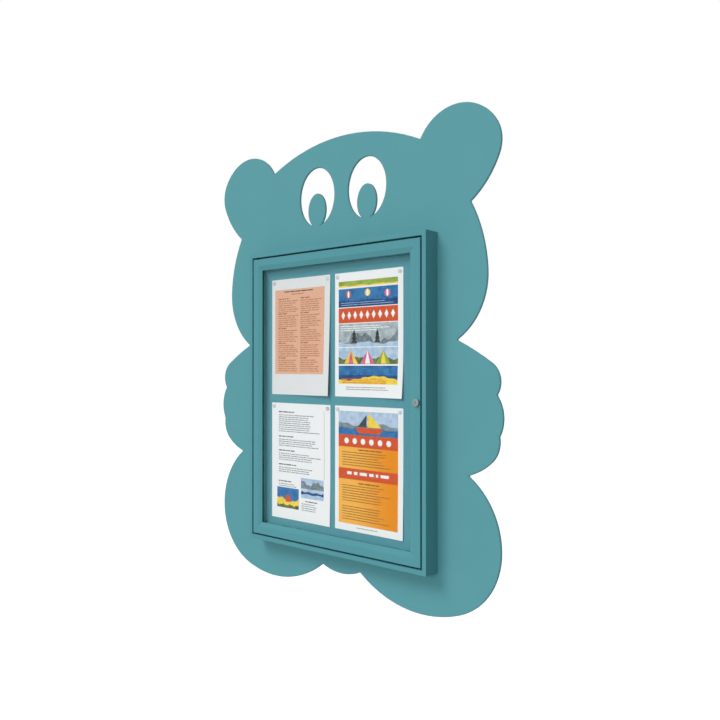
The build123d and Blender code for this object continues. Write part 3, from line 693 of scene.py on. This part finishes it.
def timetable():
    """White sheet with a salmon table of fine lines in two columns of headed groups."""
    # This sheet's paper is painted greyer, as painted shade cast by the door frame.
    page = Notice("upper_left", turn=-30, reach=190, lift=9.5, paper=SHADE_GREYED_PAPER)
    page.block("salmon", 12, 53, 191, 270)
    page.words("charcoal", 46, 264, 156, 1, 5, 3, bar=2.6, word=12, shortest=0.95)
    page.words("rust", 74, 257, 130, 1, 5, 4, bar=2.0, word=9, shortest=0.9)
    for left, seed in ((24, 11), (106, 12)):
        for i, top in enumerate((246, 208, 170, 132, 94)):
            page.words("rust", left, top, left + 50, 1, 5, seed + 20 + i, bar=2.8, word=11)
            page.words(
                "terracotta", left, top - 6, left + 77, 6, 5.4, seed + i, bar=2.5, word=12, shortest=0.85
            )
    page.hang()


def poster():
    """Bright poster: balloons over a lake, a red band, firs and misty peaks, tents, a flowering field."""
    page = Notice("upper_right", turn=-62, reach=110, lift=6)
    left, right = PRINT_LEFT, PRINT_RIGHT
    page.block("leaf", left, 262, right, 276)
    page.ridge("straw", left, 262, right, 265, ((1.2, 3, 0.1), (0.8, 8, 0.4)))
    page.block("sky", left, 214, right, 258)
    page.ridge("deep_blue", left, 214, right, 229, ((1.5, 2, 0.2), (0.6, 7, 0.5)))
    page.words(
        "pale_blue", left + 8, 224, right - 6, 2, 5, 22, bar=1.1, word=13, shortest=0.8, layer=3
    )
    for across, up, ink in ((44, 244, "poppy"), (104, 246, "straw"), (164, 242, "pink")):
        page.disc(ink, across, up, 8.5, 3)
        page.disc("snow", across, up, 3.2, 4, squash=2.6)
        page.block("charcoal", across - 2, up - 15, across + 2, up - 11, 3)
    page.block("poppy", left, 176, right, 212)
    for i in range(9):
        across = left + 15 + i * 19.2
        page.shape("snow", ((across, 184), (across + 6, 194), (across, 204), (across - 6, 194)), 2)
    page.block("mist", left, 119, right, 174)
    page.ridge("slate", left, 119, right, 140, ((12, 1.5, 0.7), (6, 4, 0.2), (2, 9, 0.1)))
    page.ridge("pale_blue", left, 119, right, 128, ((3, 2, 0.3), (1, 6, 0.1)), layer=3)
    page.words("snow", left + 6, 168, right - 8, 3, 5, 23, bar=1.8, word=16, shortest=0.7)
    for across in (62, 134):
        for foot, half in ((128, 10), (137, 8), (146, 6)):
            bough = ((across - half, foot), (across + half, foot), (across, foot + 15))
            page.shape("charcoal", bough, 4)
    page.block("pale_blue", left, 78, right, 117)
    page.ridge("moss", left, 78, right, 92, ((3, 2.5, 0.4), (1.5, 7, 0.2)))
    tents = ((52, "straw", "pink"), (104, "pink", "snow"), (152, "leaf", "straw"))
    for across, ink, stripe in tents:
        page.shape(ink, ((across - 22, 79), (across + 22, 79), (across, 111)), 3)
        page.shape(stripe, ((across - 8, 79), (across + 8, 79), (across, 111)), 4)
    page.block("deep_blue", left, 31, right, 74)
    page.ridge("sky", left, 52, right, 72, ((1.2, 3, 0.2),))
    page.ridge("straw", left, 31, right, 45, ((5, 1, 0.6), (1.2, 6, 0.6)), layer=3)
    page.words("poppy", left + 10, 43, right - 8, 3, 4.5, 24, bar=2.2, word=3, shortest=0.9, layer=4)
    page.words("grey", 36, 23, 172, 2, 5, 21, bar=1.8, word=8, shortest=0.95)
    page.hang()


def letter():
    """White letter with headed blocks of grey small print and two small pictures."""
    page = Notice("lower_left", turn=-40, reach=110, lift=2)
    for top, lines, seed in ((274, 9, 31), (211, 4, 32), (175, 4, 33), (139, 3, 34)):
        page.words("charcoal", 26, top, 100, 1, 5, seed + 40, bar=2.8, word=12, shortest=0.7)
        page.words("grey", 26, top - 8, 182, lines, 5.2, seed, bar=2.1, word=8, shortest=0.7)
    page.block("rust", 189, 112, 189.8, 280)
    page.block("pale_blue", 108, 60, 188, 110)
    page.ridge("slate", 108, 84, 188, 98, ((5, 1.5, 0.2), (2, 5, 0.5)))
    page.ridge("deep_blue", 108, 66, 188, 76, ((1, 3, 0.2), (1, 8, 0.6)), layer=3)
    page.ridge("pale_blue", 108, 60, 188, 70, ((1.5, 2, 0.7),), layer=4)
    page.block("sky", 20, 28, 100, 80)
    page.ridge("straw", 20, 28, 100, 50, ((4, 1, 0.1), (1.5, 4, 0.3)))
    page.shape("poppy", ((52, 44), (70, 44), (70, 56), (61, 64), (52, 56)), 3)
    page.ridge("moss", 20, 28, 100, 36, ((1.5, 3, 0.4), (1, 7, 0.2)), layer=4)
    page.words("charcoal", 26, 96, 96, 1, 5, 75, bar=2.6, word=11, shortest=0.8)
    page.words("grey", 26, 89, 98, 2, 5.2, 35, bar=1.8, word=8, shortest=0.8)
    page.words("charcoal", 124, 52, 184, 1, 5, 76, bar=2.4, word=11, shortest=0.7)
    page.words("grey", 110, 45, 184, 4, 5.2, 36, bar=1.8, word=8, shortest=0.6)
    page.hang()


def flyer():
    """Orange flyer with a harbour picture, two red bands and brown small print."""
    page = Notice("lower_right", turn=-35, reach=130, lift=2.5)
    left, right = PRINT_LEFT, PRINT_RIGHT
    page.block("amber", left, 17, right, 285)
    page.block("pale_blue", left, 229, right, 285, 2)
    page.ridge("slate", left, 240, right, 254, ((4, 1.5, 0.2), (1.5, 5, 0.4)), layer=3)
    page.ridge("sky", left, 229, right, 245, ((1.5, 3, 0.1),), layer=4)
    page.shape("poppy", ((76, 234), (140, 234), (152, 247), (66, 247)), 5)
    page.shape("straw", ((104, 249), (146, 249), (106, 282)), 5)
    page.shape("charcoal", ((74, 249), (101, 249), (101, 278)), 5)
    page.block("poppy", left, 200, right, 229, 3)
    page.block("poppy", left, 123, right, 149, 3)
    for i in range(6):
        page.disc("snow", left + 26 + i * 26, 214.5, 7, 4)
    page.words("snow", 40, 138, 172, 1, 5, 60, bar=7, word=14, shortest=0.95, layer=4)
    page.words("brown", 76, 194, 170, 1, 5, 61, bar=3.0, word=13, shortest=0.8, layer=3)
    page.words("brown", 24, 187, 174, 6, 6, 51, bar=1.8, word=9, shortest=0.8, layer=3)
    page.words("brown", 76, 115, 170, 1, 5, 62, bar=3.0, word=13, shortest=0.8, layer=3)
    page.words("brown", 24, 108, 174, 7, 6, 52, bar=1.8, word=9, shortest=0.8, layer=3)
    page.words("brown", 24, 58, 174, 6, 6, 54, bar=1.8, word=9, shortest=0.8, layer=3)
    page.words("grey", 70, 10, 140, 1, 5, 53, bar=1.6, word=7, shortest=0.95)
    page.hang()


# Trim, magnets and screws
def board_trim():
    """Mitred angle strip on the board that closes the hollow behind the glazing beads."""
    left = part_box("glazing_bead_left")[1].x
    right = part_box("glazing_bead_right")[0].x
    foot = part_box("glazing_bead_bottom")[1].z
    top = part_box("glazing_bead_top")[0].z
    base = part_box("display_board")[0].y
    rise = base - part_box("door_left_stile")[1].y - TRIM_PLAY
    section = (
        (0, 0), (0, rise - TRIM_EDGE), (TRIM_EDGE, rise), (TRIM_WALL, rise),
        (TRIM_WALL, TRIM_WALL), (TRIM_FOOT, TRIM_WALL), (TRIM_FOOT, 0),
    )
    made = bmesh.new()
    loops = []
    for out, up in section:
        corners = (
            (left - out, foot - out), (right + out, foot - out),
            (right + out, top + out), (left - out, top + out),
        )
        loops.append([made.verts.new((x, base - up, z)) for x, z in corners])
    mesh = bridged("board_trim", made, loops + loops[:1])
    mesh.materials.append(FRAME_COAT)
    new_piece("board_trim", mesh, "case")


def turned(rings, sides=24):
    """A mesh of rings about the front-facing axis.

    A ring is its radius, its height towards the front, and whether it is a hexagon across flats.
    """
    made = bmesh.new()
    loops = []
    for radius, height, six_sided in rings:
        loop = []
        for i in range(sides):
            t = 2 * math.pi * i / sides
            reach = radius
            if six_sided:
                reach /= math.cos((t + HALF_FLAT) % (2 * HALF_FLAT) - HALF_FLAT)
            loop.append(made.verts.new((reach * math.cos(t), -height, reach * math.sin(t))))
        loops.append(loop)
    made.faces.new(loops[0][::-1])
    made.faces.new(loops[-1])
    return bridged("turned", made, loops)


def set_out(name, rings, places, front, finish, replaced=None):
    """Copies of a turned fitting at front-view places, as one piece that may stand for a node."""
    model = bpy.data.objects.new(f"{name}_model", turned(rings))
    points = [(x, front, z) for x, z in places]
    mesh = grown(SET_OUT, {"Fitting": model, "Finish": finish}, points)
    bpy.data.objects.remove(model)
    piece = new_piece(name, smooth(mesh), "case")
    if replaced:
        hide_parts(replaced)


def magnets():
    """Clear domed caps over white-lacquered magnets at the sheets' upper corners."""
    low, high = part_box("notice_magnets")
    places = shapes_of("notice_magnets")
    height = high.y - low.y
    cap = [(wide * CAP_RADIUS, up * height, False) for wide, up in CAP_PROFILE]
    set_out("magnet_caps", cap, places, high.y, ACRYLIC, "notice_magnets")
    core = [
        (CORE_RADIUS, CORE_FOOT, False),
        (CORE_RADIUS, CORE_SIDE * height, False),
        (CORE_TOP_RADIUS, CORE_TOP * height, False),
    ]
    set_out("magnet_cores", core, places, high.y, LACQUER)


def board_screws():
    """Pan-head screws with hexagon sockets that hold the board."""
    low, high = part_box("board_screws")
    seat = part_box("display_board")[0].y
    head = seat - low.y
    tip = seat - high.y
    rings = [
        (BOARD_TIP, tip, False),
        (BOARD_SHANK, tip + SCREW_CHAMFER, False),
        (BOARD_SHANK, 0, False),
        *[(radius, share * head, False) for radius, share in PAN_HEAD],
        (BOARD_SOCKET, head, True),
        (BOARD_SOCKET, BOARD_SOCKET_FLOOR * head, True),
    ]
    places = shapes_of("board_screws")
    set_out("board_screws_socket", rings, places, seat, ZINC, "board_screws")


def case_screws():
    """Countersunk screws with hexagon sockets, put in from the panel's back."""
    low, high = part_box("case_screws")
    length = high.y - low.y
    rings = [
        (CASE_SOCKET, CASE_SOCKET_DEPTH, True),
        (CASE_SOCKET, 0, True),
        *[(radius, depth, False) for radius, depth in SUNK_HEAD],
        (CASE_SHANK, length - SCREW_CHAMFER, False),
        (CASE_TIP, length, False),
    ]
    places = shapes_of("case_screws")
    set_out("case_screws_socket", rings, places, high.y, ZINC, "case_screws")


timetable()
poster()
letter()
flyer()
board_trim()
magnets()
board_screws()
case_screws()


# Stage
def seen_directly(tree):
    """One for rays from the camera, a mirror or glass, nought for the light that falls on things."""
    path = node(tree, "ShaderNodeLightPath").outputs
    sharp = node(
        tree,
        "ShaderNodeMath",
        {0: path["Is Glossy Ray"], 1: path["Is Transmission Ray"]},
        operation="ADD",
    )
    every = node(
        tree,
        "ShaderNodeMath",
        {0: path["Is Camera Ray"], 1: sharp.outputs[0]},
        operation="ADD",
        use_clamp=True,
    )
    return every.outputs[0]


def surround():
    """A surround that looks white and lights things evenly at a lower level."""
    world = bpy.data.worlds.new("studio")
    world.use_nodes = True
    tree = world.node_tree
    tree.nodes.clear()
    level = node(
        tree, "ShaderNodeMapRange", {"Value": seen_directly(tree), "To Min": SURROUND, "To Max": 1.0}
    )
    glow = node(tree, "ShaderNodeBackground", {"Color": linear(WHITE), "Strength": level.outputs[0]})
    node(tree, "ShaderNodeOutputWorld", {"Surface": glow.outputs[0]})
    bpy.context.scene.world = world


def floor():
    """A pale matt floor that looks white, keeps a shadow and throws light back up."""
    mesh = bpy.data.meshes.new("floor")
    ends = ((-1, -1), (1, -1), (1, 1), (-1, 1))
    corners = [(x * FLOOR_HALF, y * FLOOR_HALF, -FLOOR_DROP) for x, y in ends]
    mesh.from_pydata(corners, [], [(0, 1, 2, 3)])
    ground = bpy.data.objects.new("floor", mesh)
    bpy.context.scene.collection.objects.link(ground)
    pale, tree, shader = finish_of(
        "pale_floor",
        Roughness=1.0,
        Base_Color=linear(FLOOR_COLOUR),
        Specular_IOR_Level=0.0,
        Emission_Color=linear(WHITE),
    )[:3]
    glow = node(tree, "ShaderNodeMath", {0: seen_directly(tree), 1: FLOOR_GLOW}, operation="MULTIPLY")
    feed(shader, {"Emission Strength": glow.outputs[0]})
    mesh.materials.append(pale)


def lamp(name, came_from, strength, spread):
    """A far lamp from a direction, as broad as its spread."""
    made = bpy.data.objects.new(name, bpy.data.lights.new(name, "SUN"))
    made.data.energy = strength
    made.data.angle = math.radians(spread)
    made.rotation_euler = Vector(came_from).to_track_quat("Z", "Y").to_euler()
    bpy.context.scene.collection.objects.link(made)


def camera():
    """The photograph's view."""
    turn = math.radians(CAMERA_AZIMUTH)
    rise = math.radians(CAMERA_ELEVATION)
    back = Vector((math.sin(turn) * math.cos(rise), -math.cos(turn) * math.cos(rise), math.sin(rise)))
    eye = bpy.data.objects.new("camera", bpy.data.cameras.new("camera"))
    eye.data.lens = CAMERA_LENS
    eye.location = CAMERA_PLACE
    eye.rotation_euler = back.to_track_quat("Z", "Y").to_euler()
    bpy.context.scene.collection.objects.link(eye)
    bpy.context.scene.camera = eye


surround()
floor()
lamp("key", KEY_FROM, KEY_STRENGTH, KEY_SPREAD)
lamp("fill", FILL_FROM, FILL_STRENGTH, FILL_SPREAD)
camera()
bpy.context.scene.view_settings.view_transform = "Standard"
